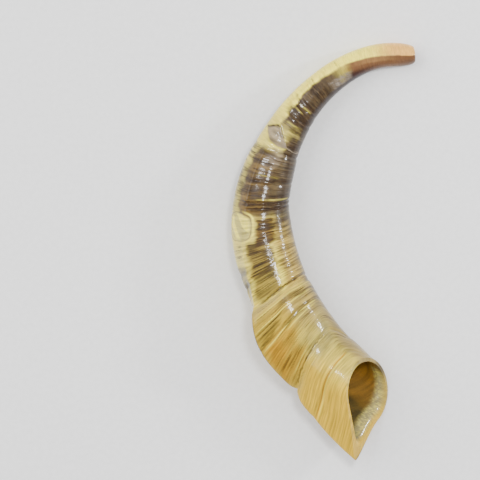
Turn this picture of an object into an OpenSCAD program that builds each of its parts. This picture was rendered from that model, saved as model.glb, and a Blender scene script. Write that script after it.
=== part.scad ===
// Shofar: a ram's horn blown through a cup cut in its tip.
// The horn lies on its side on a table, with the mouthpiece end pointing to +X at +Y and the
// bell opening up and to +X at -Y.  A horn is keratin laid down as nested growth cones: the
// oldest is the tip, and each younger cone starts inside the one before it.  Every cone is a
// node here, and neighbours meet along the scarf between them.

/* [Mouthpiece] */
// radius of the cup at the face (mm)
cup_r = 4.0; // [3.5:0.1:6]
// depth of the cup below the face (mm)
cup_depth = 8; // [5:0.5:12]
// radius of the drilled throat (mm)
throat_r = 2.5; // [1.5:0.1:3.5]
// depth from the face where the throat opens into the channel (mm)
throat_end = 38; // [25:1:45]
// radius of the tip face, as a fraction of the full tip section
tip_face = 0.57; // [0.55:0.01:0.85]
// length over which the tip is rounded off (mm)
tip_rounding = 16; // [6:0.5:24]

/* [Bore] */
// radius of the burned channel where the throat ends (mm)
channel_r = 3.2; // [2.5:0.1:5]
// distance from the tip where the natural hollow starts (mm)
hollow_start = 150; // [120:5:200]
// distance from the tip where the hollow reaches its full width (mm)
hollow_full = 285; // [240:5:320]
// wall of the hollow near the bell (mm)
wall = 3.6; // [2:0.1:6]
// angle by which the inside of the keel is blunter than the outside (degrees)
keel_fill = 4; // [0:1:15]

/* [Bell rim] */
// width of the flat part of the rim (mm)
rim_flat = 1.8; // [1:0.1:3]
// length of the bevel inside the rim, along the horn (mm)
rim_bevel = 4; // [2:0.5:8]

/* [Growth cones] */
// length of the scarf between two growth cones (mm)
scarf = 12; // [6:1:20]
// depth of the strong groove above the bell, as a fraction of the radius
notch_depth = 0.05; // [0:0.01:0.1]

/* [Detail] */
// columns around the horn
columns = 56; // [24:4:72]
// spacing of the outer rings (mm)
ring_step = 4.6; // [3:0.2:10]

/* [Hidden] */

horn_shade = [0.80, 0.66, 0.42];
pale_shade = [0.90, 0.80, 0.62];
streak_shade = [0.62, 0.48, 0.28];

// Stations along the spine, one every station_pitch from the tip:
// [x, y, z, heading of the outer side, radius, height / width, keel angle above the outer
//  side, half angle that the keel adds, lean of the ring towards the bell]
station_pitch = 30;
STATIONS = [
    [ 68.6,  148.2,  8.0,  96,  9.0, 0.94, 100, 15, -0.06],
    [ 39.6,  146.4,  9.4, 100,  9.4, 0.94,  94, 24,  0.00],
    [ 12.6,  134.4, 12.5, 118, 10.8, 0.92,  72, 28,  0.05],
    [-10.8,  114.2, 15.5, 134, 12.7, 0.92,  66, 28,  0.08],
    [-28.2,   90.0, 17.6, 149, 15.2, 0.90,  66, 28,  0.10],
    [-40.8,   62.5, 19.2, 165, 18.8, 0.88,  60, 28,  0.15],
    [-47.2,   33.0, 20.2, 181, 21.4, 0.88,  55, 28,  0.25],
    [-44.4,    3.0, 21.2, 193, 23.0, 0.88,  50, 30,  0.10],
    [-35.0,  -25.3, 22.4, 205, 23.2, 0.90,  42, 36, -0.10],
    [-22.4,  -51.7, 23.6, 216, 24.4, 0.92,  28, 44, -0.22],
    [ -3.8,  -74.4, 22.0, 225, 24.6, 0.96,  12, 47, -0.35],
    [ 18.4,  -95.0, 23.8, 229, 26.6, 0.98,   4, 57, -0.45],
    [ 42.8, -112.6, 24.6, 231, 27.3, 1.00,   0, 63, -0.50],
    [ 66.8, -130.4, 27.6, 232, 27.7, 1.00,   0, 64, -0.50]
];

// Where each growth cone ends at the outer surface, measured along the spine, and how far it
// swells between its two grooves: all round, and more on the keel.
CONE_ENDS = [98, 136, 184, 248, 310];
LAST_RING = 366;
SWELL_ROUND = [0, 0.015, 0.030, 0.022, 0.055, 0.045];
SWELL_KEEL = [0, 0, 0.020, 0.030, 0.100, 0];
KEEL_SPREAD = 32;
KEEL_EDGE = 3;
KEEL_EDGE_INSIDE = 8;
NOTCH_SPREAD = 5;
NOTCH_AROUND = 29;

// The bell is sawn off along one plane.
RIM_POINT = [26.6, -162.4, 19.8];
RIM_TILT = [0.82, -0.13, 0.60];
RIM_NORMAL = RIM_TILT / norm(RIM_TILT);
RIM_SEARCH = [290, 400];

// Towards the bell the section turns flatter across one slanted direction.
FLAT_FROM = 270;
FLAT_OVER = 60;
FLAT_TURN = 62;
FLAT_AMOUNT = 0.20;

// Puts the lowest point on the table and the middle of the outline on the origin.
CENTRING = [0.18, -0.21, -0.01];

channel_growth = 0.6;   // extra channel radius by the start of the hollow
overshoot = 1;
cup_curve = 1.8;        // 1 is a cone, higher is a rounder bowl
cup_step = 0.125;
blind_ring = 6;         // the channel's blind end, short of the throat's

function clamp01(t) = min(max(t, 0), 1);

// Catmull-Rom through the stations, with straight continuation past both ends.
function station(s) =
    let (
        u = s / station_pitch,
        last = len(STATIONS) - 1,
        i = min(max(floor(u), 0), last - 1),
        f = u - i,
        b = STATIONS[i],
        c = STATIONS[i + 1],
        a = i > 0 ? STATIONS[i - 1] : 2 * b - c,
        d = i < last - 1 ? STATIONS[i + 2] : 2 * c - b
    )
    0.5 * (2 * b + (c - a) * f + (2 * a - 5 * b + 4 * c - d) * f * f
        + (3 * b - a - 3 * c + d) * f * f * f);

function cone_index(s, k = 0) = k < len(CONE_ENDS) && s >= CONE_ENDS[k] ? cone_index(s, k + 1) : k;
function cone_start(k) = k == 0 ? 0 : CONE_ENDS[k - 1];
function cone_end(k) = k < len(CONE_ENDS) ? CONE_ENDS[k] : LAST_RING;

// Radius factor of the growth cones: each swells just past its groove, then tapers.
function swelling(s, turn) =
    let (
        k = cone_index(s),
        t = clamp01((s - cone_start(k)) / (cone_end(k) - cone_start(k))),
        bump = sin(180 * pow(t, 0.5)),
        keel = exp(-pow(turn / KEEL_SPREAD, 2)),
        notch = exp(-pow((s - CONE_ENDS[4]) / NOTCH_SPREAD, 2) - pow(turn / NOTCH_AROUND, 2))
    )
    1 + (SWELL_ROUND[k] + SWELL_KEEL[k] * keel) * bump - notch_depth * notch;

// Keel: a straight-sided corner that stands out from the round section.
// edge is how far around its crest the corner is rounded.
function keel_factor(turn, half, edge) =
    1 / cos(max(0, half - sqrt(turn * turn + edge * edge)));

// Flattened round section, as a polar radius for a ring of radius 1.
function oval(s, phi, flat) =
    let (
        t = clamp01((s - FLAT_FROM) / FLAT_OVER),
        k = flat * (1 - FLAT_AMOUNT * t),
        a = phi - FLAT_TURN * t
    )
    1 / sqrt(pow(cos(a), 2) + pow(sin(a) / k, 2));

function tip_round(s) =
    let (t = 1 - clamp01(s / tip_rounding))
    tip_face + (1 - tip_face) * sqrt(1 - t * t);

function outer_radius(s, turn, st) =
    st[4] * oval(s, turn + st[6], st[5]) * keel_factor(turn, st[7], KEEL_EDGE) * tip_round(s)
    * swelling(s, turn);

function channel(s) = channel_r + channel_growth * clamp01(s / hollow_start);

// The hollow grows from the channel to the full width between hollow_start and hollow_full.
function inner_radius(s, turn, st, thickness) =
    let (
        full = st[4] * oval(s, turn + st[6], st[5])
            * keel_factor(turn, max(0, st[7] - keel_fill), KEEL_EDGE_INSIDE) - thickness,
        t = clamp01((s - hollow_start) / (hollow_full - hollow_start))
    )
    channel(s) + (full - channel(s)) * sin(90 * t);

function place(st, phi, r) =
    let (
        out = [cos(st[3]), sin(st[3]), 0],
        along = [-sin(st[3]), cos(st[3]), 0],
        up = along * st[8] + [0, 0, sqrt(1 - st[8] * st[8])]
    )
    [st[0], st[1], st[2]] + out * r * cos(phi) + up * r * sin(phi) + CENTRING;

// turn is the angle around the horn, measured from the keel, from -180 to 180.
function outside(s, turn) =
    let (st = station(s))
    place(st, turn + st[6], outer_radius(s, turn, st));
function inside(s, turn, thickness) =
    let (st = station(s))
    place(st, turn + st[6], inner_radius(s, turn, st, thickness));

function past_rim(p) = (p - CENTRING - RIM_POINT) * RIM_NORMAL > 0;

// Distance from the tip where a line along the surface meets the rim plane (bisection).
function outer_rim(turn, lo = RIM_SEARCH[0], hi = RIM_SEARCH[1], n = 24) =
    let (mid = (lo + hi) / 2)
    n == 0 ? mid
    : past_rim(outside(mid, turn)) ? outer_rim(turn, lo, mid, n - 1)
    : outer_rim(turn, mid, hi, n - 1);
function inner_rim(turn, thickness, lo = RIM_SEARCH[0], hi = RIM_SEARCH[1], n = 24) =
    let (mid = (lo + hi) / 2)
    n == 0 ? mid
    : past_rim(inside(mid, turn, thickness)) ? inner_rim(turn, thickness, lo, mid, n - 1)
    : inner_rim(turn, thickness, mid, hi, n - 1);

// Columns sit closer together at the keel, which is the sharpest part of the section.
TURNS = [for (i = [0:columns - 1])
    let (t = -1 + 2 * i / columns)
    180 * (0.72 * t + 0.28 * t * t * t)];

function outer_ring(s) = [for (t = TURNS) outside(s, t)];
function inner_ring(s, thickness) = [for (t = TURNS) inside(s, t, thickness)];

function spread(from, to, step) =
    let (n = max(1, ceil(abs(to - from) / step)))
    [for (i = [0:n]) from + (to - from) * i / n];

// Side faces of a stack of rings.  flip picks the other diagonal of each quad.
function band(i, j, flip) =
    [for (c = [0:columns - 1])
        let (
            d = (c + 1) % columns,
            a = i * columns + c,
            b = i * columns + d,
            e = j * columns + c,
            f = j * columns + d
        )
        each flip ? [[a, b, e], [b, f, e]] : [[a, b, f], [a, f, e]]];

function fan(i, centre, out) =
    [for (c = [0:columns - 1])
        let (a = i * columns + c, b = i * columns + (c + 1) % columns)
        out ? [centre, b, a] : [centre, a, b]];

function flatten(rings) = [for (ring = rings) each ring];

// A closed loop of rings: down the outside, across, back up the inside and across again.
module shell(rings) {
    n = len(rings);
    polyhedron(
        points = flatten(rings),
        faces = concat(
            [for (i = [0:n - 2]) each band(i, i + 1, false)],
            band(n - 1, 0, true)
        ),
        convexity = 8
    );
}

function centre_of(ring, i = 0) =
    i == len(ring) ? [0, 0, 0] : ring[i] / len(ring) + centre_of(ring, i + 1);

// The tip cone: rings down the outside and back up the channel, closed at both ends.
module tip_body() {
    rings = concat(
        [for (s = concat([0, 0.4, 1.2, 2.4, 4, 6], spread(8, CONE_ENDS[0], ring_step)))
            outer_ring(s)],
        [for (s = spread(CONE_ENDS[0] - scarf, throat_end - blind_ring, 2 * ring_step))
            inner_ring(s, wall)]
    );
    n = len(rings);
    polyhedron(
        points = concat(flatten(rings), [centre_of(rings[0]), centre_of(rings[n - 1])]),
        faces = concat(
            [for (i = [0:n - 2]) each band(i, i + 1, false)],
            fan(0, n * columns, true),
            fan(n - 1, n * columns + 1, false)
        ),
        convexity = 8
    );
}

// Cup and throat, turned about their own axis: z = 0 is the tip face, and the bore runs to -z.
module mouth_bore() {
    rotate_extrude($fn = 96)
        polygon([
            [0, overshoot],
            [cup_r + 0.5, overshoot],
            for (t = [0 : cup_step : 1])
                [throat_r + (cup_r - throat_r) * (1 - pow(t, cup_curve)), -cup_depth * t],
            [throat_r, -throat_end],
            [0, -throat_end]
        ]);
}

module tip_cone() {
    st = station(0);
    face_normal = cross(
        [cos(st[3]), sin(st[3]), 0],
        [-sin(st[3]) * st[8], cos(st[3]) * st[8], sqrt(1 - st[8] * st[8])]
    );
    tilt = acos(face_normal[2]);
    heading = atan2(face_normal[1], face_normal[0]);
    color(pale_shade)
    difference() {
        tip_body();
        translate([st[0], st[1], st[2]] + CENTRING)
            rotate([0, tilt, heading])
                mouth_bore();
    }
}

// One growth cone between the grooves k - 1 and k.
module growth_cone(k) {
    from = CONE_ENDS[k - 1];
    to = CONE_ENDS[k];
    shell(concat(
        [for (s = spread(from, to, ring_step)) outer_ring(s)],
        [for (s = spread(to - scarf, from - scarf, 2 * ring_step)) inner_ring(s, wall)]
    ));
}

module neck_cone() {
    color(horn_shade) growth_cone(1);
}

module upper_cone() {
    color(streak_shade) growth_cone(2);
}

module middle_cone() {
    color(streak_shade) growth_cone(3);
}

module lower_cone() {
    color(horn_shade) growth_cone(4);
}

// The youngest cone ends at the sawn rim, which is flat, with a bevel to the hollow.
module bell_cone() {
    from = CONE_ENDS[4];
    outer_end = [for (t = TURNS) outer_rim(t)];
    flat_end = [for (t = TURNS) inner_rim(t, rim_flat)];
    outer_steps = spread(0, 1, ring_step / (LAST_RING - from));
    inner_steps = spread(1, 0, 2 * ring_step / (LAST_RING - from + scarf));
    color(horn_shade) shell(concat(
        [for (w = outer_steps)
            [for (i = [0:columns - 1]) outside(from + (outer_end[i] - from) * w, TURNS[i])]],
        [[for (i = [0:columns - 1]) inside(flat_end[i], TURNS[i], rim_flat)]],
        [for (w = inner_steps)
            [for (i = [0:columns - 1])
                let (lip = flat_end[i] - rim_bevel, start = from - scarf)
                inside(start + (lip - start) * w, TURNS[i], wall)]]
    ));
}

tip_cone();
neck_cone();
upper_cone();
middle_cone();
lower_cone();
bell_cone();
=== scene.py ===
"""The looks of the shofar: one finely modelled piece of horn for each growth cone of the frame.

A place on the horn has two coordinates: `s`, in mm along the spine from the tip, and `turn`, in
degrees around the horn from its keel, positive towards the inner side of the curve. Two more
short names are used throughout: `g` is the place along the growth lines, in mm, and `st` holds
the station values at a place along the spine.
"""

import math

import bpy
import numpy as np
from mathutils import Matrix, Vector


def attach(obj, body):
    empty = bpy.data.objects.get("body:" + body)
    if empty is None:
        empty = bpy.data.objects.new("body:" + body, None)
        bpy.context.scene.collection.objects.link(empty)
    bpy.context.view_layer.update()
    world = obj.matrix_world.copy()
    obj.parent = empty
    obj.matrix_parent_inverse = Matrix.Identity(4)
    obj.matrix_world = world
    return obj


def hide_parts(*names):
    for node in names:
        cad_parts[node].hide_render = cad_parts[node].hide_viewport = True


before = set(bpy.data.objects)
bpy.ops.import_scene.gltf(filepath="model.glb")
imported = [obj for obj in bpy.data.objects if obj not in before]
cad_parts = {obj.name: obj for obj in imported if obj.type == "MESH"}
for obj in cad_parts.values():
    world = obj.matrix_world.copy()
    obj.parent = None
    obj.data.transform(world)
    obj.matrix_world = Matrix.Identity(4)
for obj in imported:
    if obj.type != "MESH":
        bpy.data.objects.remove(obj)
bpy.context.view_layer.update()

MM = 0.001

# ---------------------------------------------------------------- shape of the horn, in mm

# One station every STATION_PITCH along the spine: x, y, z, heading of the outer side, radius,
# height / width, keel angle above the outer side, half angle of the keel, lean of the ring.
STATION_PITCH = 30.0
STATIONS = np.array([
    [68.6, 148.2, 8.0, 96, 9.0, 0.94, 100, 15, -0.06],
    [39.6, 146.4, 9.4, 100, 9.4, 0.94, 94, 24, 0.00],
    [12.6, 134.4, 12.5, 118, 10.8, 0.92, 72, 28, 0.05],
    [-10.8, 114.2, 15.5, 134, 12.7, 0.92, 66, 28, 0.08],
    [-28.2, 90.0, 17.6, 149, 15.2, 0.90, 66, 28, 0.10],
    [-40.8, 62.5, 19.2, 165, 18.8, 0.88, 60, 28, 0.15],
    [-47.2, 33.0, 20.2, 181, 21.4, 0.88, 55, 28, 0.25],
    [-44.4, 3.0, 21.2, 193, 23.0, 0.88, 50, 30, 0.10],
    [-35.0, -25.3, 22.4, 205, 23.2, 0.90, 42, 36, -0.10],
    [-22.4, -51.7, 23.6, 216, 24.4, 0.92, 28, 44, -0.22],
    [-3.8, -74.4, 22.0, 225, 24.6, 0.96, 12, 47, -0.35],
    [18.4, -95.0, 23.8, 229, 26.6, 0.98, 4, 57, -0.45],
    [42.8, -112.6, 24.6, 231, 27.3, 1.00, 0, 63, -0.50],
    [66.8, -130.4, 27.6, 232, 27.7, 1.00, 0, 64, -0.50],
])
CENTRING = np.array([0.18, -0.21, -0.01])     # puts the outline's middle over the origin
CONES = ["tip_cone", "neck_cone", "upper_cone", "middle_cone", "lower_cone", "bell_cone"]
CONE_ENDS = [98, 136, 184, 248, 310]
LAST_RING = 366                        # the bell's rings are spaced as if it ended here
PAST_THE_RIM = 400                     # a place along the spine beyond every point of the horn
# Each cone swells from its start: all round, and more at the keel.
SWELL_ROUND = [0, 0.015, 0.030, 0.022, 0.055, 0.045]
SWELL_KEEL = [0, 0, 0.020, 0.030, 0.100, 0]
KEEL_SPREAD = 32
KEEL_EDGE, KEEL_EDGE_INSIDE = 3, 8     # bluntness of the keel, in degrees
NOTCH_DEPTH, NOTCH_SPREAD, NOTCH_AROUND = 0.05, 5, 29
# The plane in which the bell was sawn off.
RIM_POINT = np.array([26.6, -162.4, 19.8])
RIM_NORMAL = np.array([0.82, -0.13, 0.60]) / np.linalg.norm([0.82, -0.13, 0.60])
# The bell is flatter: where this starts, over what length, which way, and how much.
FLAT_FROM, FLAT_OVER, FLAT_TURN, FLAT_AMOUNT = 270, 60, 62, 0.20
TIP_FACE, TIP_ROUNDING = 0.57, 16      # the face as a share of the tip, and its rounding
CHANNEL_R, CHANNEL_GROWTH = 3.2, 0.6
HOLLOW_START, HOLLOW_FULL = 150, 285   # where the channel opens into the natural hollow
WALL, KEEL_FILL = 3.6, 4
RIM_FLAT, RIM_BEVEL = 1.8, 4           # the sawn face of the wall, and the bevel inside it
SCARF = 12                             # overlap of one cone with the next, along the horn
CUP_R, CUP_DEPTH, CUP_CURVE, CUP_LIP = 4.0, 8, 1.8, 0.25
THROAT_R, THROAT_END = 2.5, 32


def clamp01(t):
    return np.clip(t, 0.0, 1.0)


def smooth(low, high, t):
    """A soft step from 0 at low to 1 at high, whichever of the two is the larger."""
    t = clamp01((t - low) / (high - low))
    return t * t * (3 - 2 * t)


def bump(t, centre, half_width):
    """A soft bump of height 1."""
    return np.exp(-((t - centre) / half_width) ** 2)


def station(s):
    """Catmull-Rom through the stations, straight past both ends."""
    u = np.asarray(s, float) / STATION_PITCH
    last = len(STATIONS) - 1
    i = np.clip(np.floor(u).astype(int), 0, last - 1)
    f = (u - i)[..., None]
    b, c = STATIONS[i], STATIONS[i + 1]
    a = np.where((i > 0)[..., None], STATIONS[np.maximum(i - 1, 0)], 2 * b - c)
    d = np.where((i < last - 1)[..., None], STATIONS[np.minimum(i + 2, last)], 2 * c - b)
    return 0.5 * (2 * b + (c - a) * f + (2 * a - 5 * b + 4 * c - d) * f ** 2
                  + (3 * b - a - 3 * c + d) * f ** 3)


def swelling(s, turn):
    """Factor on the radius: each cone's swell, less the notch where the bell's cone starts."""
    edges = [0] + CONE_ENDS + [LAST_RING]
    out = np.ones(s.shape)
    for k in range(len(CONES)):
        here = (s >= edges[k]) & ((s < edges[k + 1]) | (k == len(CONES) - 1))
        t = clamp01((s - edges[k]) / (edges[k + 1] - edges[k]))
        swell = SWELL_ROUND[k] + SWELL_KEEL[k] * bump(turn, 0, KEEL_SPREAD)
        out = np.where(here, 1 + swell * np.sin(math.pi * np.sqrt(t)), out)
    return out - NOTCH_DEPTH * bump(s, CONE_ENDS[4], NOTCH_SPREAD) * bump(turn, 0, NOTCH_AROUND)


def keel_factor(turn, half, edge):
    """Draws the section out to a blunt edge at turn 0."""
    return 1 / np.cos(np.radians(np.maximum(0, half - np.sqrt(turn ** 2 + edge ** 2))))


def oval(s, phi, flat):
    """Oval section of width 1, pressed flatter towards the bell."""
    t = clamp01((s - FLAT_FROM) / FLAT_OVER)
    a = np.radians(phi - FLAT_TURN * t)
    return 1 / np.sqrt(np.cos(a) ** 2 + (np.sin(a) / (flat * (1 - FLAT_AMOUNT * t))) ** 2)


def place(st, phi, r):
    """The point at angle phi and radius r in the ring of a station."""
    heading, phi = np.radians(st[..., 3]), np.radians(phi)
    zero = np.zeros_like(heading)
    out = np.stack([np.cos(heading), np.sin(heading), zero], -1)
    along = np.stack([-np.sin(heading), np.cos(heading), zero], -1)
    lean = st[..., 8:9]
    up = along * lean + np.array([0, 0, 1.0]) * np.sqrt(1 - lean ** 2)
    return (st[..., :3] + out * (r * np.cos(phi))[..., None]
            + up * (r * np.sin(phi))[..., None] + CENTRING)


# ---------------------------------------------------------------- colours, linear

CREAM = (0.9, 0.76, 0.09)
PEACH = (0.8, 0.43, 0.1)
OLIVE_CREAM = (0.6, 0.49, 0.09)
OLIVE = (0.16, 0.12, 0.025)
BLUSH = (0.15, 0.067, 0.025)
BLUSH_DEEP = (0.036, 0.01, 0.006)
PLUM = (0.038, 0.017, 0.018)
SAND = (0.08, 0.051, 0.021)
SCUFF = (0.22, 0.18, 0.14)
TAN = (0.105, 0.071, 0.029)
HONEY = (0.133, 0.074, 0.01)
STRAW = (0.4, 0.272, 0.046)
GOLD = (0.46, 0.305, 0.018)
AMBER = (0.42, 0.215, 0.004)
BELL = (0.6, 0.375, 0.016)
GREY = (0.084, 0.065, 0.038)
GREY_OLIVE = (0.24, 0.2, 0.07)
WORN = (0.25, 0.19, 0.125)
WORN_OLIVE = (0.42, 0.36, 0.09)
EDGE = (0.025, 0.017, 0.018)
EDGE_BROWN = (0.047, 0.032, 0.019)
RUSSET = (0.27, 0.14, 0.047)
BLUSH_GREY = (0.11, 0.060, 0.036)
BELL_DEEP = (0.46, 0.27, 0.012)
# The pale bevel inside the mouth, with painted light on it.
LIP_AND_PAINTED_LIGHT = (0.36, 0.30, 0.11)
HOLLOW_AMBER = (0.24, 0.115, 0.012)
HOLLOW_OLIVE = (0.046, 0.035, 0.0067)
# Dark arcs in the hollow, and the painted shade deep inside it.
HOLLOW_DARK_AND_SHADE = (0.038, 0.022, 0.0034)
DARK = (0.01, 0.0038, 0.001, 1)
DARK_WARM = (0.047, 0.022, 0.005, 1)

# ---------------------------------------------------------------- seeded noise

SEED = 613
ROWS, COLS = 64, 256
ROW_SHIFT, COL_SHIFT, PLACE_SHIFT = 7, 31, 17.3     # what keeps two layers of noise apart
OCTAVE_WEIGHT = 0.55
LATTICE = np.random.default_rng(SEED).random((ROWS, COLS))


def noise(s, turn, per_mm, cells, layer):
    """Value noise from 0 to 1 that closes up around the horn: `cells` cells around."""
    u = s * per_mm + layer * PLACE_SHIFT
    v = (turn / 360.0 + 0.5) * cells
    i, j = np.floor(u).astype(int), np.floor(v).astype(int)
    along, around = smooth(0, 1, u - i), smooth(0, 1, v - j)

    def corner(a, b):
        return LATTICE[(b % cells + layer * ROW_SHIFT) % ROWS, (a + layer * COL_SHIFT) % COLS]

    near = corner(i, j) * (1 - around) + corner(i, j + 1) * around
    far = corner(i + 1, j) * (1 - around) + corner(i + 1, j + 1) * around
    return near * (1 - along) + far * along


def cloud(s, turn, per_mm, cells, layer, octaves=4):
    """Several octaves of noise, from 0 to 1."""
    total, weight = 0.0, 0.0
    for k in range(octaves):
        w = OCTAVE_WEIGHT ** k
        total = total + w * noise(s, turn, per_mm * 2 ** k, cells * 2 ** k, layer + k)
        weight += w
    return total / weight


# ---------------------------------------------------------------- growth lines and marks

SLANT = 0.09                           # mm along the horn for each degree around it
SLANT_GROWS = (150, 290)               # where along the horn the slant sets in
SLANT_ENDS = (120, 180)                # and over which turns it dies away at the back
LINE_WAVE = 1.2


def growth(s, turn):
    """Position along the growth lines: they slant towards the tip on the inner side."""
    slant = SLANT * turn * (1 - smooth(*SLANT_ENDS, np.abs(turn)))
    return s + slant * smooth(*SLANT_GROWS, s) + LINE_WAVE * (cloud(s, turn, 0.05, 10, 3, 3) - 0.5)


# Dark bands across the horn: place, half width, first and last turn, strength.
BANDS = [
    (60.3, 0.5, -42, -8, 0.45), (73.0, 1.0, 10, 95, 0.35), (76.5, 1.4, 6, 92, 0.75),
    (80.0, 1.3, -8, 60, 0.95), (79.3, 0.5, -34, 0, 0.70), (83.5, 1.2, 0, 95, 0.80),
    (87.5, 1.2, 30, 100, 0.55), (93.6, 1.3, 2, 92, 0.95), (94.0, 0.6, -30, -12, 0.45),
    (98.2, 1.2, 6, 95, 0.80), (103.2, 1.3, -4, 60, 0.80), (106.0, 1.6, -12, 96, 1.00),
    (109.0, 0.9, 10, 96, 0.85), (115.5, 1.2, 22, 96, 0.65), (121.5, 1.2, 48, 105, 0.60),
    (126.0, 1.6, 55, 105, 0.75), (131.5, 1.0, 52, 100, 0.80), (135.0, 1.6, 60, 110, 0.60),
    (138.5, 2.2, -38, 24, 0.60), (145.8, 1.7, -22, 34, 0.95), (151.0, 1.0, -4, 60, 0.50),
    (158.2, 2.2, -24, 52, 1.00), (165.0, 2.0, -26, 24, 0.85), (168.5, 2.6, 4, 46, 0.90),
    (162.5, 1.4, 0, 50, 0.55), (173.4, 1.2, -10, 118, 1.00), (177.4, 1.3, 6, 112, 1.00),
    (181.5, 0.8, 24, 110, 0.70), (223.0, 1.8, -60, -4, 0.60), (231.0, 1.8, -60, 0, 0.75),
    (238.0, 0.8, -60, 2, 0.35), (249.6, 0.9, 6, 105, 0.90), (253.0, 0.6, 8, 90, 0.35),
    (262.5, 0.8, 8, 80, 0.40), (272.0, 2.0, 6, 40, 0.65), (276.5, 0.9, 2, 110, 0.55),
    (286.0, 0.8, 4, 70, 0.30), (306.6, 0.4, 3, 84, 0.40), (309.0, 0.6, 3, 112, 0.80),
    (311.3, 0.35, 3, 100, 0.45), (313.0, 0.5, 60, 112, 0.35),
]

# Grooves cut deeper than the streaks: place, half width, first and last turn, depth in mm.
GROOVES = [
    (98.2, 1.4, -60, 150, 0.25), (106.5, 1.4, -10, 120, 0.35), (136.0, 1.6, -70, 150, 0.35),
    (158.5, 1.5, -40, 130, 0.35), (173.4, 1.4, -60, 170, 0.70), (177.6, 1.2, 0, 150, 0.65),
    (249.6, 1.5, -100, 170, 0.80), (276.5, 1.1, -10, 150, 0.30), (309.2, 1.7, -120, 170, 0.80),
    (333.0, 1.6, 6, 150, 0.30), (222.0, 2.0, -120, 0, 0.50), (232.0, 1.8, -120, 2, 0.55),
]

# Pale growth lines: place, first and last turn, strength.
PALE_LINES = [
    (97.0, 14, 62, 0.6), (101.0, 4, 40, 0.3), (112.5, 12, 60, 0.5), (154.0, 10, 60, 0.4),
    (170.5, 20, 100, 0.5), (258.0, 6, 100, 0.6), (266.0, 4, 116, 0.7), (279.0, 4, 122, 0.7),
    (282.0, 50, 116, 0.6), (294.0, 20, 90, 0.2), (305.5, 20, 112, 0.4), (335.0, 6, 120, 0.45),
]
PALE_HALF = 0.55
AMBER_LINE = (333.2, 0.7, 4, 120)      # place, half width, first and last turn

ALL_ROUND = (-400, 400)                # first and last turn of a field without sides


def span(turn, first, last, soft=9.0):
    """1 from the first to the last turn, with soft ends."""
    return smooth(first - soft, first + soft, turn) * (1 - smooth(last - soft, last + soft, turn))


def zone(s, turn, start, stop, first, last, soft_s=7.0, soft_turn=12.0):
    """A soft-edged field from start to stop along the horn and from first to last around it."""
    along = smooth(start - soft_s, start + soft_s, s) * (1 - smooth(stop - soft_s, stop + soft_s, s))
    return along * span(turn, first, last, soft_turn)


def oval_mark(s, turn, at, half_length, around, half_width):
    """0 at the middle of an oval mark, 1 on its outline."""
    return np.sqrt(((s - at) / half_length) ** 2 + ((turn - around) / half_width) ** 2)


# Both dents: place, half length, turn of the middle, half width in degrees.
DENT_MID = (190.4, 9.6, -17.0, 32.0)   # rounded flat at the middle of the horn
DENT_LOW = (236.0, 8.0, -18.0, 16.0)   # shallow hollow above the bulge
DENT_SQUARENESS = 3.2
EDGE_WANDER = 1.2

# The worn facet lies between two edges across the horn. The tipward one is straight between two
# turns, and beyond them it bends towards the bell. The bellward one is an arc, which reaches
# furthest towards the bell at one turn.
FACET_TIPWARD, FACET_STRAIGHT, FACET_BEND = 118.5, (-5, 4), (0.11, 0.24)
FACET_BELLWARD, FACET_TOP, FACET_ARC = 132.0, 25, 0.0022
FACET_FULL_WIDTH = 8


def facet_edges(s, turn):
    """Both edges of the worn facet above the keel's first bend, as places along the horn."""
    wander = EDGE_WANDER * (cloud(s, turn, 0.12, 24, 53, 3) - 0.5)
    bend_before = FACET_BEND[0] * np.maximum(0, FACET_STRAIGHT[0] - turn)
    bend_after = FACET_BEND[1] * np.maximum(0, turn - FACET_STRAIGHT[1])
    tipward = FACET_TIPWARD + bend_before + bend_after
    bellward = FACET_BELLWARD - FACET_ARC * (turn - FACET_TOP) ** 2
    return tipward + wander, bellward + wander


def facet(s, turn):
    """0 in the middle of the facet, 1 on its edges."""
    tipward, bellward = facet_edges(s, turn)
    half = np.maximum((bellward - tipward) / 2, 0.35)
    return np.abs(s - (tipward + bellward) / 2) / half


def facet_width(s, turn):
    """Width of the facet, as a share of the width at which it is cut to its full depth."""
    tipward, bellward = facet_edges(s, turn)
    return clamp01((bellward - tipward) / FACET_FULL_WIDTH)


def dent_mid(s, turn):
    """0 in the middle of the flat, 1 on its outline: a rounded rectangle."""
    wander = EDGE_WANDER * (cloud(s, turn, 0.10, 16, 57, 3) - 0.5)
    at, half_length, around, half_width = DENT_MID
    along = np.abs((s + wander - at) / half_length) ** DENT_SQUARENESS
    across = np.abs((turn + 3 * wander - around) / half_width) ** DENT_SQUARENESS
    return (along + across) ** (1 / DENT_SQUARENESS)


STREAK_CONTRAST = 2.9


def streaks(g, turn):
    """Fine growth streaks, 0 to 1, long around the horn and short along it."""
    broad = cloud(g, turn, 0.12, 6, 11, 3)
    fine = cloud(g, turn, 0.66, 6, 15, 2)
    hair = noise(g, turn, 1.7, 9, 21)
    return clamp01(0.5 + STREAK_CONTRAST * (0.26 * broad + 0.44 * fine + 0.30 * hair - 0.5))


# Fields of dark streaks: start, stop, first and last turn, soft edge along and around, how much
# of the surface the streaks cover. The sides of a flamed field lick in and out.
FLAME = 13
FLAMED_FIELDS = [
    (74, 117, 5, 125, 7, 7, 0.53),
    (139, 181, -14, 130, 4, 9, 0.50),
    (182, 205, 24, 66, 5, 7, 0.62),
    (203, 248, 5, 54, 5, 7, 0.60),
]
PLAIN_FIELDS = [
    (117, 139, 52, 125, 5, 12, 0.66),
    (183, 248, 62, 135, 5, 12, 0.42),
    (250, 300, 3, 66, 5, 12, 0.42),
    (250, 306, 60, 135, 5, 12, 0.36),
    (310, 380, -20, 135, 5, 12, 0.12),
    (134, 182, -95, -14, 7, 12, 0.47),
    (200, 248, -110, -6, 5, 12, 0.36),
]
BACK_COVER = 0.45


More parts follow.
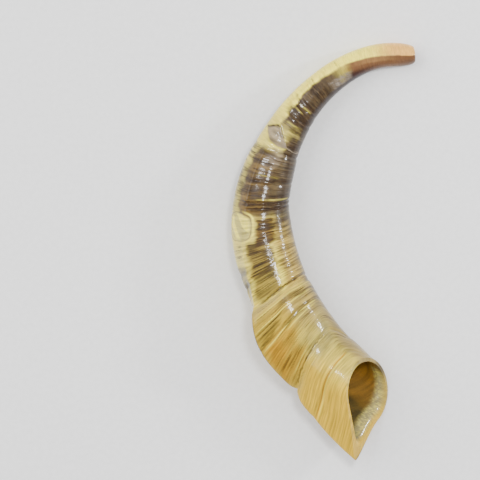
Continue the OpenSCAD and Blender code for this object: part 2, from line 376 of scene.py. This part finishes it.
def streak_zone(s, turn):
    """How much of the surface the dark streaks cover, 0 to 1."""
    lick = turn + FLAME * (cloud(s, turn, 0.16, 5, 59, 3) - 0.5)
    back = 1 - span(turn, -100, 122, 18)
    cover = smooth(80, 110, s) * (1 - smooth(290, 330, s)) * back * BACK_COVER
    for *edges, amount in FLAMED_FIELDS:
        cover = np.maximum(cover, zone(s, lick, *edges) * amount)
    for *edges, amount in PLAIN_FIELDS:
        cover = np.maximum(cover, zone(s, turn, *edges) * amount)
    return cover


JAG, FRAY = 1.5, 26                    # bands are uneven by so many mm, their ends by degrees
BAND_SOFT, GROOVE_SOFT = 8, 14         # soft ends of a band and of a groove, in degrees
GROOVE_JAG = 0.8


def pigment_and_shade(s, turn):
    """The dark colour of the streaks, bands and crack, and the painted shade under the keel, 0 to 1."""
    g = growth(s, turn)
    lines = streaks(g, turn)
    jag = JAG * (cloud(s, turn, 0.45, 60, 33, 3) - 0.5)
    cover = streak_zone(s, turn)
    dark = smooth(0.0, 0.3, cover) * (0.50 + 0.45 * cover)
    dark = dark * smooth(0.90 - cover, 1.25 - cover, lines)
    fray = FRAY * (cloud(g, turn, 0.55, 12, 29, 3) - 0.5)
    for at, half, first, last, strength in BANDS:
        band = smooth(0.15, 0.75, bump(g + jag, at, half * 1.15))
        band = band * span(turn + fray, first, last, BAND_SOFT)
        dark = np.maximum(dark, band * strength * (0.70 + 0.30 * smooth(0.2, 0.6, lines)))
    dark = dark * (0.05 + 0.95 * smooth(0.95, 1.2, facet(s, turn)))
    dark = dark * (0.1 + 0.9 * smooth(0.97, 1.12, dent_mid(s, turn)))
    tipward, _ = facet_edges(s, turn)
    crack = bump(s, tipward, 0.45 + 0.45 * smooth(4, -6, turn)) * span(turn, -46, 30, 5) * 0.9
    # Painted shade: a thin dark line along the underside of the keel, from the lower horn to the rim.
    keel_underside = smooth(-24, -6, turn) * (1 - smooth(-0.9, 1.5, turn))
    keel_painted_shade = keel_underside * smooth(252, 264, s) * 0.8
    return clamp01(np.maximum.reduce([dark, crack, keel_painted_shade]))


def lay(under, colour, amount):
    """Paints a colour over what is there."""
    return under + (np.array(colour) - under) * clamp01(amount)[..., None]


def lay_fields(colour, fields, s, turn, drift):
    """Paints one field after another. Drift makes the uneven ones come and go."""
    for field_colour, *edges, strength, uneven in fields:
        amount = zone(s, turn, *edges) * (strength + uneven * drift)
        colour = lay(colour, field_colour, amount)
    return colour


# The loose coordinates wander by this much, in mm and degrees, so that fields have uneven edges.
LOOSE_S, LOOSE_TURN_TIP, LOOSE_TURN = 9, 6, 20

# Fields of colour: colour, start, stop, first and last turn, soft edge along and around,
# strength, unevenness. Turns run from BACK_SEAM round the back to BACK_SEAM + 360.
BACK_SEAM = -125
OLD_HORN = [
    (OLIVE_CREAM, 106, 222, *ALL_ROUND, 12, 12, 0.9, 0),
    (OLIVE, 150, 180, -95, -6, 7, 12, 0.5, 0),
    (OLIVE, 218, 238, -100, 2, 3, 12, 0.85, 0),
    (GOLD, 237, 250, -100, 2, 3, 12, 0.7, 0),
]
MIDDLE_OF_HORN = [
    (SAND, 60, 118, 2, 190, 6, 6, 1, 0),
    (TAN, 118, 150, 42, 190, 5, 12, 1, 0),
    (TAN, 136, 182, -20, 190, 4, 8, 1, 0),
    (HONEY, 142, 182, -14, 44, 5, 10, 0.8, 0),
    (WORN, 132, 147, 14, 52, 3, 8, 0.6, 0),
]
YOUNG_HORN = [
    (STRAW, 184, 250, 66, 190, 6, 12, 1, 0),
    (STRAW, 249, PAST_THE_RIM, *ALL_ROUND, 5, 12, 0.95, 0),
    (GOLD, 255, PAST_THE_RIM, -80, 66, 7, 18, 0.8, 0),
    (AMBER, 276, 302, 4, 58, 6, 9, 0.85, 1.5),
    (BELL, 313, PAST_THE_RIM, -85, 81, 7, 15, 1, 0),
]
INNER_SIDE = [
    (CREAM, 284, 345, 62, 130, 10, 16, 0.28, 0),
    (GREY_OLIVE, 252, 312, 74, 128, 9, 12, 0.45, 1.4),
    (EDGE_BROWN, 90, 194, 70, 120, 12, 9, 0.85, 0),
    (EDGE, 40, 112, 72, 120, 14, 9, 0.9, 0),
]
# Fields that need more than a plain row. These hold the edges alone, and the honey ones a
# strength as well.
SCUFF_FIELD = (53, 72, 34, 80, 4, 8)
HONEY_FIELDS = [(183, 204, 24, 70, 4, 6, 1), (202, 248, 5, 56, 4, 7, 0.85)]
BACK_FIELD = (96, 205, *ALL_ROUND, 12)
LOW_BACK_FIELD = (205, 330, *ALL_ROUND, 12)

# Soft steps of the tip's colours, along the horn in mm or around it in degrees.
TIP_STOPS, BROWN_STARTS, BROWN_STOPS = (50, 66), (-6, 3), (170, 206)
RUSSET_FIELD = (18, 46, -2, 22, 8, 6)
END_STOPS, END_TURNS = (6, 20), (12, 34)
DEEP_STARTS, DEEP_TURNS, DEEP_BACK = (18, 46), (28, 58), (130, 190)
PLUM_STARTS, PLUM_SPAN = (22, 50), (67, 120, 14)


def tip_colour(colour, s, loose_s, loose_turn):
    """The brown side of the tip, from blush at its edge to a deep plum on the inner side."""
    tip = 1 - smooth(*TIP_STOPS, loose_s)
    brown = smooth(*BROWN_STARTS, loose_turn) * (1 - smooth(*BROWN_STOPS, loose_turn))
    colour = lay(colour, BLUSH, tip * brown)
    colour = lay(colour, RUSSET, zone(s, loose_turn, *RUSSET_FIELD) * 0.8)
    at_end = 1 - smooth(*END_STOPS, s)
    colour = lay(colour, BLUSH_GREY, at_end * smooth(*END_TURNS, loose_turn) * brown * 0.6)
    deep = smooth(*DEEP_TURNS, loose_turn) * (1 - smooth(*DEEP_BACK, loose_turn))
    colour = lay(colour, BLUSH_DEEP, smooth(*DEEP_STARTS, loose_s) * tip * deep)
    plum = smooth(*PLUM_STARTS, loose_s) * tip * span(loose_turn, *PLUM_SPAN)
    return lay(colour, PLUM, plum * 0.85)


def worn_colour_and_highlight(colour, s, turn):
    """The facet and the middle dent, with a painted highlight on the ridge past the facet, and the pale
    outline and scrapes of the dent.
    """
    _, bellward = facet_edges(s, turn)
    colour = lay(colour, WORN, (1 - smooth(0.80, 1.04, facet(s, turn))) * 0.9)
    # Painted highlight: a pale line along the raised ridge just past the facet's bellward edge.
    colour = lay(colour, CREAM, bump(s, bellward + 0.6, 0.7) * span(turn, -8, 50, 8) * 0.5)
    mid = dent_mid(s, turn)
    colour = lay(colour, WORN_OLIVE, (1 - smooth(0.85, 1.02, mid)) * 0.85)
    colour = lay(colour, GREY, bump(mid, 1.0, 0.035) * 0.8)
    colour = lay(colour, CREAM, bump(mid, 1.13, 0.06) * smooth(-12, 8, turn) * 0.8)
    stroke = smooth(0.52, 0.66, cloud(s - 0.35 * turn, turn, 0.22, 6, 61, 2))
    return lay(colour, CREAM, (1 - smooth(0.8, 0.95, mid)) * stroke * 0.7)


def row_contrast(g, s, turn, loose_s, loose_turn):
    """Light and dark rows along the growth lines, strongest on the brown side."""
    young = smooth(248, 264, s)
    rows = cloud(g, turn, 0.75, 8, 47, 3) * (1 - young) + cloud(g, turn, 1.1, 13, 49, 3) * young
    brown_side = smooth(0, 14, loose_s - 62) * span(loose_turn, -15, 212, 19)
    return (0.25 + 1.15 * brown_side * (1 - 0.30 * young)) * (rows - 0.5)


def body_colour(s, turn):
    """The horn's own colour under the dark streaks, with a painted highlight on the ridge past the worn
    facet.
    """
    g = growth(s, turn)
    drift = cloud(g, turn, 0.05, 8, 41, 4) - 0.5
    turn = np.where(turn < BACK_SEAM, turn + 360, turn)
    loose_s = s + LOOSE_S * (cloud(s, turn, 0.09, 9, 43, 3) - 0.5)
    sway = LOOSE_TURN_TIP + (LOOSE_TURN - LOOSE_TURN_TIP) * smooth(50, 85, s)
    loose_turn = turn + sway * (cloud(g, turn, 0.20, 9, 44, 3) - 0.5)
    colour = np.ones(s.shape + (3,)) * CREAM
    patches = smooth(0.50, 0.72, cloud(g, turn, 0.11, 9, 67, 3))
    colour = lay(colour, GOLD, patches * smooth(45, 60, s) * 0.40)
    colour = lay(colour, PEACH, 1 - smooth(14, 40, s))
    colour = lay_fields(colour, OLD_HORN, loose_s, loose_turn, drift)
    colour = tip_colour(colour, s, loose_s, loose_turn)
    colour = lay_fields(colour, MIDDLE_OF_HORN, loose_s, loose_turn, drift)
    scratch = smooth(0.35, 0.6, cloud(s + 0.3 * turn, turn, 0.7, 40, 69, 3))
    scuffed = zone(loose_s, loose_turn, *SCUFF_FIELD)
    colour = lay(colour, SCUFF, scuffed * (0.45 + 0.55 * scratch))
    honey = sum(zone(loose_s, loose_turn, *edges) * part for *edges, part in HONEY_FIELDS)
    colour = lay(colour, HONEY, honey)
    colour = lay_fields(colour, YOUNG_HORN, loose_s, loose_turn, drift)
    mouth = smooth(330, 372, s) * span(loose_turn, -85, 81, 15)
    colour = lay(colour, BELL_DEEP, mouth * (0.30 + 1.8 * drift))
    back, low_back = 1 - span(loose_turn, -80, 100, 15), 1 - span(loose_turn, -85, 118, 16)
    colour = lay(colour, GREY, zone(loose_s, loose_turn, *BACK_FIELD) * back * 0.7)
    colour = lay(colour, GREY, zone(loose_s, loose_turn, *LOW_BACK_FIELD) * low_back * 0.5)
    colour = lay_fields(colour, INNER_SIDE, loose_s, loose_turn, drift)
    colour = lay(colour, EDGE, smooth(331, 338, s) * span(turn, 127, 221, 11) * 0.8)
    colour = worn_colour_and_highlight(colour, s, turn)
    for at, first, last, strength in PALE_LINES:
        colour = lay(colour, CREAM, bump(g, at, PALE_HALF) * span(turn, first, last) * strength)
    at, half, first, last = AMBER_LINE
    colour = lay(colour, AMBER, bump(g, at, half) * span(turn, first, last))
    return colour * (1 + 0.35 * drift + row_contrast(g, s, turn, loose_s, loose_turn))[..., None]


def inside_colour(s, turn, gap):
    """The hollow: amber by the rim, olive brown by the keel, and painted shade that grows darker with
    the depth.

    gap is the distance in from the plane of the rim, in mm. A mottled pale band runs round the
    keel side of the mouth: the bevel's paler horn with painted light on it, pale painted
    reflections and dark specks.
    """
    g = growth(s, turn)
    cloudy = cloud(g, turn, 0.06, 14, 81, 4) - 0.5
    colour = np.ones(s.shape + (3,)) * HOLLOW_AMBER
    by_keel = 1 - smooth(20, 110, np.abs(turn + 10))
    colour = lay(colour, HOLLOW_OLIVE, by_keel + 0.8 * cloudy)
    arcs = smooth(0.45, 0.7, cloud(g, turn, 0.5, 5, 83, 2))
    colour = lay(colour, HOLLOW_DARK_AND_SHADE, 0.35 * arcs)
    # Painted shade: the hollow grows darker the further it lies in from the rim.
    colour = lay(colour, HOLLOW_DARK_AND_SHADE, smooth(18, 75, gap) * 0.85)
    mottle = cloud(s, turn, 1.3, 150, 85, 2)
    # Painted light on the bevel inside the mouth, over its paler horn. The cream mottling on it is
    # painted reflection, and the grey specks are marks.
    band = (1 - smooth(4.5, 8.5, gap + 2 * cloudy)) * span(turn, -150, -6, 12)
    colour = lay(colour, LIP_AND_PAINTED_LIGHT, band * 0.9)
    colour = lay(colour, CREAM, band * smooth(0.50, 0.70, mottle) * 0.40)
    return lay(colour, GREY, band * smooth(0.48, 0.28, mottle) * 0.35)


# Depths of the relief, in mm.
STREAK_CUT, LINE_CUT, WAVE_CUT = 0.28, 0.10, 0.30
FACET_CUT, CRACK_CUT, FACET_RIDGE = 0.9, 0.35, 0.25
DENT_CUT, DENT_LINE_CUT = 0.9, 0.15
SMOOTH_TIP = 12                        # the relief fades out over this length at the tip


def relief(s, turn):
    """How far the surface lies below the swelled horn, in mm."""
    g = growth(s, turn)
    lines = streaks(g, turn)
    depth = STREAK_CUT * streak_zone(s, turn) * smooth(0.40, 0.80, lines)
    at_bell = 0.6 * smooth(312, 330, s)
    depth = depth + LINE_CUT * smooth(20, 60, s) * (1 - lines) * (1 - at_bell)
    depth = depth + WAVE_CUT * smooth(30, 90, s) * cloud(s, turn, 0.06, 8, 61, 3)
    jag = GROOVE_JAG * (cloud(s, turn, 0.35, 40, 33, 3) - 0.5)
    for at, half, first, last, cut in GROOVES:
        depth = depth + cut * bump(g + jag, at, half) * span(turn, first, last, GROOVE_SOFT)
    tipward, bellward = facet_edges(s, turn)
    in_facet = 1 - smooth(0.35, 1.1, facet(s, turn))
    depth = depth + FACET_CUT * facet_width(s, turn) * in_facet
    depth = depth + CRACK_CUT * bump(s, tipward, 0.6) * span(turn, -46, 32, 8)
    depth = depth - FACET_RIDGE * bump(s, bellward + 1.0, 0.9) * span(turn, -8, 52, 8)
    mid = dent_mid(s, turn)
    depth = depth + DENT_CUT * (1 - smooth(0.70, 1.06, mid)) + DENT_LINE_CUT * bump(mid, 1.0, 0.05)
    low = oval_mark(s, turn, *DENT_LOW)
    depth = depth + DENT_CUT * (1 - smooth(0.2, 1.1, low))
    return depth * smooth(0, SMOOTH_TIP, s)


# ---------------------------------------------------------------- surfaces

RIPPLE = 0.25                          # unevenness of the hollow, in mm


def outer_radius(s, turn, st):
    """Radius of the outside, with the tip rounded off and the relief cut in."""
    t = 1 - clamp01(s / TIP_ROUNDING)
    tip = TIP_FACE + (1 - TIP_FACE) * np.sqrt(1 - t * t)
    whole = st[..., 4] * oval(s, turn + st[..., 6], st[..., 5])
    whole = whole * keel_factor(turn, st[..., 7], KEEL_EDGE) * tip * swelling(s, turn)
    return whole - relief(s, turn)


def inner_radius(s, turn, st, thickness):
    """Radius of the channel, which opens into the hollow until one wall thickness is left."""
    full = st[..., 4] * oval(s, turn + st[..., 6], st[..., 5])
    full = full * keel_factor(turn, np.maximum(0, st[..., 7] - KEEL_FILL), KEEL_EDGE_INSIDE)
    t = clamp01((s - HOLLOW_START) / (HOLLOW_FULL - HOLLOW_START))
    channel = CHANNEL_R + CHANNEL_GROWTH * clamp01(s / HOLLOW_START)
    ripple = RIPPLE * cloud(s, turn, 0.12, 12, 71, 3) * smooth(HOLLOW_START, HOLLOW_FULL, s)
    return channel + (full - thickness - channel + ripple) * np.sin(math.pi / 2 * t)


def outside(s, turn):
    """Points of the outer surface."""
    s, turn = np.broadcast_arrays(np.asarray(s, float), np.asarray(turn, float))
    st = station(s)
    return place(st, turn + st[..., 6], outer_radius(s, turn, st))


def inside(s, turn, thickness=WALL):
    """Points of the inner surface, or of a surface at another depth in the wall."""
    s, turn = np.broadcast_arrays(np.asarray(s, float), np.asarray(turn, float))
    st = station(s)
    return place(st, turn + st[..., 6], inner_radius(s, turn, st, thickness))


SEARCH_FROM = 290.0                    # a place before the whole rim
HALVINGS = 30


def rim_distance(surface, turn):
    """Where each line along a surface meets the sawn plane, by bisection."""
    low, high = np.full(turn.shape, SEARCH_FROM), np.full(turn.shape, float(PAST_THE_RIM))
    for _ in range(HALVINGS):
        middle = (low + high) / 2
        past = (surface(middle, turn) - CENTRING - RIM_POINT) @ RIM_NORMAL > 0
        high, low = np.where(past, middle, high), np.where(past, low, middle)
    return (low + high) / 2


COLUMNS = 288
RING_STEP = 0.42
INNER_STEP = 1.6
CROWDING = 0.2                         # how much closer the columns stand at the keel
AROUND = np.linspace(-1, 1, COLUMNS, endpoint=False)
TURNS = 180 * ((1 - CROWDING) * AROUND + CROWDING * AROUND ** 3)
# Rings on the rounding of the tip, in mm from its face, before the even ones start.
TIP_RINGS = [0, 0.15, 0.4, 0.8, 1.3, 1.9, 2.6, 3.4, 4.3]
EVEN_RINGS_FROM = 5
# How deep in the wall a ring lies: 0 on the outside, 1 in the hollow.
OUTSIDE, RIM_FACE, RIM_INNER, CUP, HOLLOW = 0, 0.5, 0.6, 0.8, 1


class Stack:
    """Rings of points with their place on the horn and how deep inside the wall they are."""

    def __init__(self):
        self.points, self.s, self.depth = [], [], []

    def add(self, points, s, depth):
        """Appends one ring; s and depth may be one value for the whole ring."""
        self.points.append(points)
        self.s.append(np.broadcast_to(s, TURNS.shape))
        self.depth.append(np.full(TURNS.shape, float(depth)))

    def reverse(self):
        """Puts the rings in the opposite order."""
        for rows in (self.points, self.s, self.depth):
            rows.reverse()


def spread(start, stop, step):
    """Even steps from start to stop, both included, and about as long as asked."""
    return np.linspace(start, stop, max(2, int(abs(stop - start) / step) + 1))


def bell_stack(start):
    """The last cone: out to the sawn rim, over its face, and back down the hollow."""
    stack = Stack()
    rim = rim_distance(outside, TURNS)
    flat = rim_distance(lambda s, turn: inside(s, turn, RIM_FLAT), TURNS)
    for w in spread(0, 1, RING_STEP / (LAST_RING - start)):
        s = start + (rim - start) * w
        stack.add(outside(s, TURNS), s, OUTSIDE)
    for w in (0.25, 0.5, 0.75):
        edge = outside(rim, TURNS) * (1 - w) + inside(flat, TURNS, RIM_FLAT) * w
        stack.add(edge, rim, RIM_FACE)
    stack.add(inside(flat, TURNS, RIM_FLAT), flat, RIM_INNER)
    for w in spread(1, 0, INNER_STEP / (LAST_RING - start + SCARF)):
        s = start - SCARF + (flat - RIM_BEVEL - start + SCARF) * w
        stack.add(inside(s, TURNS), s, HOLLOW)
    return stack


def cone_stack(k):
    """All rings of growth cone k, in order along its section."""
    start = 0 if k == 0 else CONE_ENDS[k - 1]
    if k == len(CONES) - 1:
        return bell_stack(start)
    stop = CONE_ENDS[k]
    stack = Stack()
    if k == 0:
        axis, centre, up = mouth_frame()
        for depth, radius in cup_profile():
            stack.add(centre - axis * depth + radius * up, -depth, CUP)
        stack.reverse()
        outer = np.concatenate([TIP_RINGS, spread(EVEN_RINGS_FROM, stop, RING_STEP)])
    else:
        outer = spread(start, stop, RING_STEP)
    for s in outer:
        stack.add(outside(s, TURNS), s, OUTSIDE)
    inner_stop = THROAT_END if k == 0 else start - SCARF
    for s in spread(stop - SCARF, inner_stop, INNER_STEP):
        stack.add(inside(s, TURNS), s, HOLLOW)
    return stack


def mouth_frame():
    """Axis of the mouthpiece, pointing out of it, its centre, and unit vectors around it."""
    st = station(0.0)
    heading, lean = math.radians(st[3]), st[8]
    out = np.array([math.cos(heading), math.sin(heading), 0])
    rise = np.array([-math.sin(heading) * lean, math.cos(heading) * lean, math.sqrt(1 - lean ** 2)])
    phi = np.radians(TURNS + st[6])[:, None]
    return np.cross(out, rise), st[:3] + CENTRING, out * np.cos(phi) + rise * np.sin(phi)


def cup_profile():
    """Depth and radius from the lip of the cup down into the throat."""
    bowl_r = CUP_R - 0.2
    lip = [(0.0, CUP_R + CUP_LIP), (0.12, CUP_R), (0.5, CUP_R - 0.15)]
    bowl = [(CUP_DEPTH * t, THROAT_R + (bowl_r - THROAT_R) * (1 - t ** CUP_CURVE))
            for t in np.linspace(0.15, 1, 12)]
    throat = [(d, THROAT_R) for d in np.linspace(CUP_DEPTH + 2, THROAT_END, 10)]
    return lip + bowl + throat


def closed_mesh(name, points):
    """A ring of rings: each ring of COLUMNS points joins the next, and the last the first."""
    rings = len(points) // COLUMNS
    ring, column = np.arange(rings)[:, None], np.arange(COLUMNS)[None, :]
    here, there = ring * COLUMNS, (ring + 1) % rings * COLUMNS
    beside = (column + 1) % COLUMNS
    quads = np.stack([here + column, here + beside, there + beside, there + column], -1)
    mesh = bpy.data.meshes.new(name)
    mesh.vertices.add(len(points))
    mesh.vertices.foreach_set("co", points.astype(np.float32).ravel())
    mesh.loops.add(quads.size)
    mesh.loops.foreach_set("vertex_index", quads.astype(np.int32).ravel())
    mesh.polygons.add(quads.size // 4)
    mesh.polygons.foreach_set("loop_start", np.arange(0, quads.size, 4, dtype=np.int32))
    mesh.update(calc_edges=True)
    mesh.validate()
    return mesh


def write(mesh, name, kind, field, values):
    """Stores one value for each point, for the material to read."""
    data = mesh.attributes.new(name, kind, "POINT").data
    data.foreach_set(field, values.astype(np.float32).ravel())


SHARP_ANGLE = math.radians(50)


def make_piece(k):
    """One closed, watertight piece of horn for growth cone k."""
    stack = cone_stack(k)
    points = np.concatenate(stack.points)
    mesh = closed_mesh(f"horn_{CONES[k]}", points * MM)
    s, depth = np.concatenate(stack.s), np.concatenate(stack.depth)
    turn = np.tile(TURNS, len(stack.points))
    angle = np.radians(turn)
    where = np.stack([growth(s, turn), np.cos(angle), np.sin(angle)], -1)
    gap = (RIM_POINT + CENTRING - points) @ RIM_NORMAL
    inner = smooth(0.65, 0.95, depth)
    dark = pigment_and_shade(s, turn) * (1 - smooth(0.1, 0.6, depth))
    colour = body_colour(s, turn)
    colour = colour + (inside_colour(s, turn, gap) - colour) * inner[:, None]
    write(mesh, "place", "FLOAT_VECTOR", "vector", where)
    write(mesh, "body", "FLOAT_COLOR", "color", np.column_stack([np.maximum(colour, 0), dark]))
    write(mesh, "gloss", "FLOAT", "value", 1 - inner * smooth(3, 9, gap))
    mesh.polygons.foreach_set("use_smooth", np.ones(len(mesh.polygons), bool))
    mesh.set_sharp_from_angle(angle=SHARP_ANGLE)
    obj = bpy.data.objects.new(f"horn_{CONES[k]}", mesh)
    bpy.context.scene.collection.objects.link(obj)
    return obj


# ---------------------------------------------------------------- material

class Graph:
    """Short calls for building a material's node tree."""

    def __init__(self, name):
        self.material = bpy.data.materials.new(name)
        self.material.use_nodes = True
        self.tree = self.material.node_tree
        self.shader = self.tree.nodes["Principled BSDF"]

    def node(self, kind, **values):
        """Adds a node and sets its properties."""
        made = self.tree.nodes.new(kind)
        for key, value in values.items():
            setattr(made, key, value)
        return made

    def plug(self, socket, value):
        """Links an output to the socket, or sets the socket to a plain value."""
        if isinstance(value, bpy.types.NodeSocket):
            self.tree.links.new(value, socket)
        else:
            socket.default_value = value

    def math(self, operation, a, b=0.0, clamp=False):
        """The result of one operation on two numbers or outputs."""
        made = self.node("ShaderNodeMath", operation=operation, use_clamp=clamp)
        self.plug(made.inputs[0], a)
        self.plug(made.inputs[1], b)
        return made.outputs[0]

    def mix(self, factor, a, b):
        """Colour a at factor 0 and colour b at factor 1."""
        made = self.node("ShaderNodeMix", data_type="RGBA")
        self.plug(made.inputs[0], factor)
        self.plug(made.inputs[6], a)
        self.plug(made.inputs[7], b)
        return made.outputs[2]

    def noise(self, vector, scale, detail, rough):
        """Blender's own noise, from 0 to 1."""
        made = self.node("ShaderNodeTexNoise")
        self.plug(made.inputs["Vector"], vector)
        made.inputs["Scale"].default_value = scale
        made.inputs["Detail"].default_value = detail
        made.inputs["Roughness"].default_value = rough
        return made.outputs[0]

    def stretch(self, vector, x, y, z):
        """A vector scaled along each axis."""
        made = self.node("ShaderNodeVectorMath", operation="MULTIPLY")
        self.plug(made.inputs[0], vector)
        made.inputs[1].default_value = (x, y, z)
        return made.outputs[0]

    def remap(self, value, given, wanted):
        """A straight ramp from one pair of values to another, held at its ends."""
        made = self.node("ShaderNodeMapRange")
        self.plug(made.inputs[0], value)
        for socket, number in enumerate((*given, *wanted), start=1):
            made.inputs[socket].default_value = number
        return made.outputs[0]

    def ramp(self, value, low, high):
        """A soft step from 0 at low to 1 at high."""
        made = self.node("ShaderNodeMapRange", interpolation_type="SMOOTHSTEP")
        self.plug(made.inputs[0], value)
        made.inputs[1].default_value = low
        made.inputs[2].default_value = high
        return made.outputs[0]


# The horn's surface. A stretch is noise cells for each mm of growth, and for each radius around.
LINE_STRETCH, HAIR_STRETCH, FLECK_STRETCH = (0.95, 1.6, 1.6), (2.8, 4.0, 4.0), (0.30, 9.0, 9.0)
GRAIN_IN, GRAIN_SHADE = (0.32, 0.68), (0.74, 1.22)
INK_SPREAD = 1.6
ROUGHNESS, HOLLOW_DULLNESS = (0.22, 0.40), 0.40
HORN_IOR, HORN_SPECULAR = 1.54, 0.12
COAT, COAT_IOR, COAT_ROUGHNESS = 0.5, 1.4, 0.06
SUBSURFACE, SUBSURFACE_RADIUS = 0.10, (0.004, 0.002, 0.0008)
BUMP_STRENGTH, BUMP_HEIGHT = 0.35, 0.0003


def horn_material(name):
    """Polished horn under a clear gloss coat, matt in the hollow."""
    graph = Graph(name)
    place_at = graph.node("ShaderNodeAttribute", attribute_name="place").outputs["Vector"]
    body_at = graph.node("ShaderNodeAttribute", attribute_name="body")
    body, dark = body_at.outputs["Color"], body_at.outputs["Alpha"]
    gloss = graph.node("ShaderNodeAttribute", attribute_name="gloss").outputs["Fac"]
    lines = graph.noise(graph.stretch(place_at, *LINE_STRETCH), 1.0, 4, 0.6)
    hairs = graph.noise(graph.stretch(place_at, *HAIR_STRETCH), 1.0, 3, 0.6)
    flecks = graph.noise(graph.stretch(place_at, *FLECK_STRETCH), 1.0, 4, 0.65)
    grain = graph.math("ADD", graph.math("MULTIPLY", lines, 0.6), graph.math("MULTIPLY", hairs, 0.4))

    varied = graph.node("ShaderNodeVectorMath", operation="SCALE")
    graph.plug(varied.inputs[0], body)
    graph.plug(varied.inputs["Scale"], graph.remap(grain, GRAIN_IN, GRAIN_SHADE))
    spread_ink = graph.math("MULTIPLY", graph.math("SUBTRACT", lines, 0.5), graph.ramp(dark, 0.02, 0.30))
    amount = graph.math("ADD", dark, graph.math("MULTIPLY", spread_ink, INK_SPREAD), True)
    # These dark colours also paint the shade under the keel, which comes in with the dark share.
    ink_and_shade = graph.mix(graph.ramp(hairs, 0.38, 0.64), DARK, DARK_WARM)
    graph.plug(graph.shader.inputs["Base Color"], graph.mix(amount, varied.outputs[0], ink_and_shade))

    dull = graph.math("MULTIPLY", graph.math("SUBTRACT", gloss, 1.0), -HOLLOW_DULLNESS)
    rough = graph.math("ADD", graph.remap(flecks, (0, 1), ROUGHNESS), dull)
    graph.plug(graph.shader.inputs["Roughness"], rough)
    graph.shader.inputs["IOR"].default_value = HORN_IOR
    graph.shader.inputs["Specular IOR Level"].default_value = HORN_SPECULAR
    graph.plug(graph.shader.inputs["Coat Weight"], graph.math("MULTIPLY", gloss, COAT))
    graph.shader.inputs["Coat IOR"].default_value = COAT_IOR
    graph.shader.inputs["Coat Roughness"].default_value = COAT_ROUGHNESS
    graph.shader.inputs["Subsurface Weight"].default_value = SUBSURFACE
    graph.shader.inputs["Subsurface Radius"].default_value = SUBSURFACE_RADIUS

    bump_node = graph.node("ShaderNodeBump")
    bump_node.inputs["Strength"].default_value = BUMP_STRENGTH
    bump_node.inputs["Distance"].default_value = BUMP_HEIGHT
    graph.plug(bump_node.inputs["Height"], grain)
    graph.plug(graph.shader.inputs["Normal"], bump_node.outputs[0])
    return graph.material


PALE, PALER = (0.86, 0.86, 0.86, 1), (0.90, 0.90, 0.90, 1)


def floor_material():
    """Plain pale paper with a faint grain."""
    graph = Graph("pale_floor")
    where = graph.node("ShaderNodeTexCoord").outputs["Object"]
    grain = graph.ramp(graph.noise(where, 260.0, 3, 0.5), 0.3, 0.7)
    graph.plug(graph.shader.inputs["Base Color"], graph.mix(grain, PALE, PALER))
    graph.shader.inputs["Roughness"].default_value = 0.9
    graph.shader.inputs["Specular IOR Level"].default_value = 0.2
    return graph.material


# ---------------------------------------------------------------- studio

# In metres, except the film. The camera looks straight down.
VIEW_CENTRE = (-0.0626, 0.00825)
VIEW_WIDTH = 0.360                     # what the picture spans at the height of the outline
VIEW_HEIGHT = 2.60
OUTLINE_HEIGHT = 0.018
FILM = 36                              # width in mm
FLOOR_SIZE = 6
DAYLIGHT = 0.90


def area_light(name, place_at, target, size, size_y, power):
    """A white rectangular light that faces its target."""
    data = bpy.data.lights.new(name, "AREA")
    data.shape = "RECTANGLE"
    data.size, data.size_y = size, size_y
    data.energy = power
    lamp = bpy.data.objects.new(name, data)
    bpy.context.scene.collection.objects.link(lamp)
    lamp.location = place_at
    lamp.rotation_mode = "QUATERNION"
    lamp.rotation_quaternion = (Vector(target) - Vector(place_at)).to_track_quat("-Z", "Y")
    return lamp


def studio():
    """Floor, three lights, an even white surround, and the camera."""
    bpy.ops.mesh.primitive_plane_add(size=FLOOR_SIZE, location=(0, 0, 0))
    floor = bpy.context.object
    floor.name = "floor"
    floor.data.materials.append(floor_material())
    area_light("overhead", (0.15, 0.20, 1.30), (-0.02, 0, 0), 0.18, 0.24, 10)
    area_light("side", (1.15, 0.34, 0.58), (0, 0, 0), 0.09, 0.22, 9)
    area_light("fill", (-1.5, 0.8, 1.4), (0, 0, 0), 2.2, 2.2, 55)
    world = bpy.data.worlds.new("studio")
    world.use_nodes = True
    world.node_tree.nodes["Background"].inputs[0].default_value = (1, 1, 1, 1)
    world.node_tree.nodes["Background"].inputs[1].default_value = DAYLIGHT
    bpy.context.scene.world = world
    data = bpy.data.cameras.new("camera")
    data.sensor_width = FILM
    data.lens = FILM * (VIEW_HEIGHT - OUTLINE_HEIGHT) / VIEW_WIDTH
    camera = bpy.data.objects.new("camera", data)
    bpy.context.scene.collection.objects.link(camera)
    camera.location = (VIEW_CENTRE[0], VIEW_CENTRE[1], VIEW_HEIGHT)
    bpy.context.scene.camera = camera


material = horn_material("polished_horn")
for k, node in enumerate(CONES):
    piece = make_piece(k)
    piece.data.materials.append(material)
    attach(piece, "root")
    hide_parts(node)
studio()
